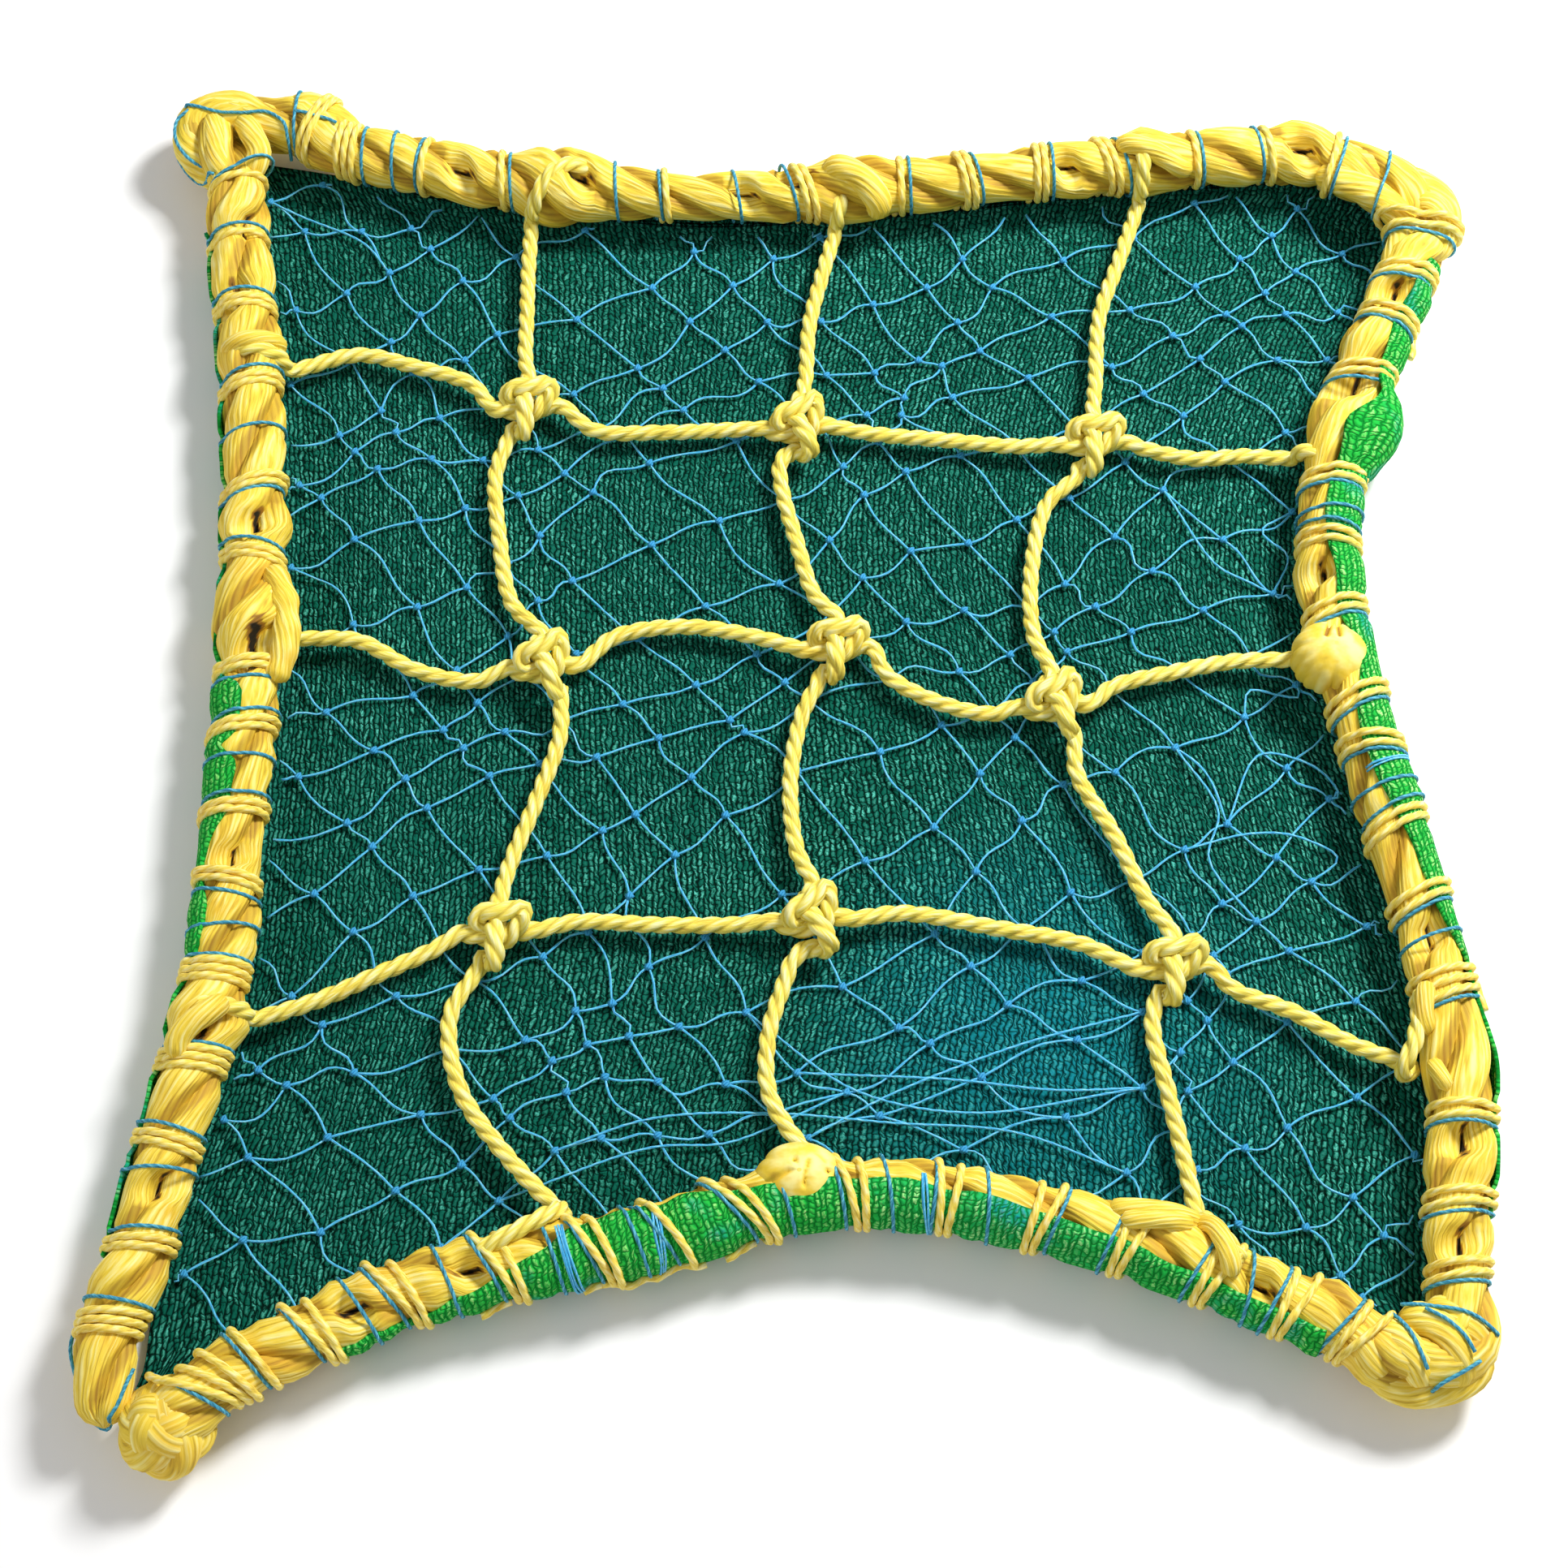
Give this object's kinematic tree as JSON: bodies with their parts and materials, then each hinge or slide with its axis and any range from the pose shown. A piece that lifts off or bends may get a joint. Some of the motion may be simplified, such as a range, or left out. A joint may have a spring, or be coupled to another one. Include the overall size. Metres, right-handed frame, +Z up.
{
  "type": "safety net",
  "caption": "Square safety net laid out flat: knotted yellow cord net over fine blue netting and green shade cloth, hemmed and lashed with twine round a thick border rope.",
  "frame": {"origin": "point of the surface under the middle of the laid-out net", "axes": "+Z up from the surface, +X to the right and +Y away, towards the top edge of the laid-out net"},
  "size_m": [0.4492, 0.4832, 0.0324],
  "materials": {
    "cloth_green": "knitted shade cloth, matt",
    "net_blue": "twisted thin twine, satin",
    "cord_yellow": "three-strand laid cord, satin",
    "rope_yellow": "soft-laid thick rope, fibrous",
    "twine_yellow": "twisted twine, satin"
  },
  "bodies": {
    "root": {"shade_cloth": "cloth_green", "mid_net": "net_blue", "rope_net": "cord_yellow", "border_rope": "rope_yellow", "lash_left_1": "twine_yellow", "lash_left_2": "twine_yellow", "lash_left_3": "twine_yellow", "lash_left_4": "twine_yellow", "lash_left_5": "twine_yellow", "lash_left_6": "twine_yellow", "lash_left_7": "twine_yellow", "lash_left_8": "twine_yellow", "lash_left_9": "twine_yellow", "lash_left_10": "twine_yellow", "lash_left_11": "twine_yellow", "lash_left_12": "twine_yellow", "lash_left_13": "twine_yellow", "lash_top_1": "twine_yellow", "lash_top_2": "twine_yellow", "lash_top_3": "twine_yellow", "lash_top_4": "twine_yellow", "lash_top_5": "twine_yellow", "lash_top_6": "twine_yellow", "lash_top_7": "twine_yellow", "lash_top_8": "twine_yellow", "lash_top_9": "twine_yellow", "lash_top_10": "twine_yellow", "lash_top_11": "twine_yellow", "lash_right_1": "twine_yellow", "lash_right_2": "twine_yellow", "lash_right_3": "twine_yellow", "lash_right_4": "twine_yellow", "lash_right_5": "twine_yellow", "lash_right_6": "twine_yellow", "lash_right_7": "twine_yellow", "lash_right_8": "twine_yellow", "lash_right_9": "twine_yellow", "lash_right_10": "twine_yellow", "lash_right_11": "twine_yellow", "lash_right_12": "twine_yellow", "lash_right_13": "twine_yellow", "lash_bottom_1": "twine_yellow", "lash_bottom_2": "twine_yellow", "lash_bottom_3": "twine_yellow", "lash_bottom_4": "twine_yellow", "lash_bottom_5": "twine_yellow", "lash_bottom_6": "twine_yellow", "lash_bottom_7": "twine_yellow", "lash_bottom_8": "twine_yellow", "lash_bottom_9": "twine_yellow", "lash_bottom_10": "twine_yellow", "lash_bottom_11": "twine_yellow", "lash_bottom_12": "twine_yellow"}
  },
  "joints": []
}
